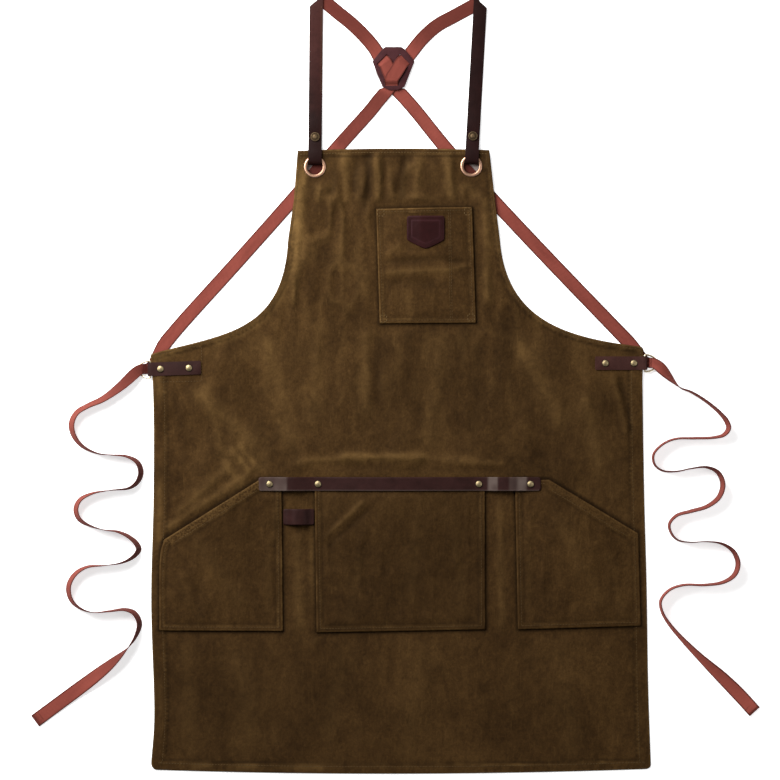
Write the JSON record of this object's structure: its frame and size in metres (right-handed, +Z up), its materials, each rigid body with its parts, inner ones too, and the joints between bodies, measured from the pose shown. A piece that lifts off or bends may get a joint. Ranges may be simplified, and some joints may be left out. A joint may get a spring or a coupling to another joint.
{
  "type": "grill apron",
  "caption": "Waxed-canvas bib apron lying face up, with leather shoulder straps, crossed webbing back straps, waist ties through side rings, patch pockets and a riveted tool strip.",
  "frame": {"origin": "on the surface the apron lies on, under the middle of the apron without its free ties", "axes": "+X to the right of the picture, +Y along the apron towards the neck, +Z up, out of the apron's face"},
  "size_m": [1.0097, 1.0851, 0.0196],
  "materials": {
    "canvas": "waxed, matt with worn streaks",
    "leather": "smooth, oiled",
    "label_leather": "pressed, satin",
    "webbing": "woven, matt",
    "brass": "polished",
    "antique_brass": "antiqued, satin",
    "copper": "polished copper plate",
    "pale_brass": "polished"
  },
  "bodies": {
    "root": {"body_panel": "canvas", "left_wing": "canvas", "right_wing": "canvas", "chest_pocket": "canvas", "left_pocket": "canvas", "centre_pocket": "canvas", "right_pocket": "canvas", "label_patch": "label_leather", "pocket_strip": "leather", "tool_loop": "leather", "strip_rivet_1": "brass", "strip_rivet_2": "brass", "strip_rivet_3": "brass", "strip_rivet_4": "brass", "left_eyelet": "copper", "right_eyelet": "copper", "left_shoulder_strap": "leather", "right_shoulder_strap": "leather", "left_snap": "antique_brass", "right_snap": "antique_brass", "left_tab": "leather", "right_tab": "leather", "left_tab_rivet_1": "brass", "left_tab_rivet_2": "brass", "right_tab_rivet_1": "brass", "right_tab_rivet_2": "brass", "left_ring": "pale_brass", "right_ring": "pale_brass", "cross_patch": "leather", "left_yoke_strap": "webbing", "right_yoke_strap": "webbing", "right_back_strap": "webbing", "left_back_strap": "webbing", "left_tie": "webbing", "right_tie": "webbing"}
  },
  "joints": []
}
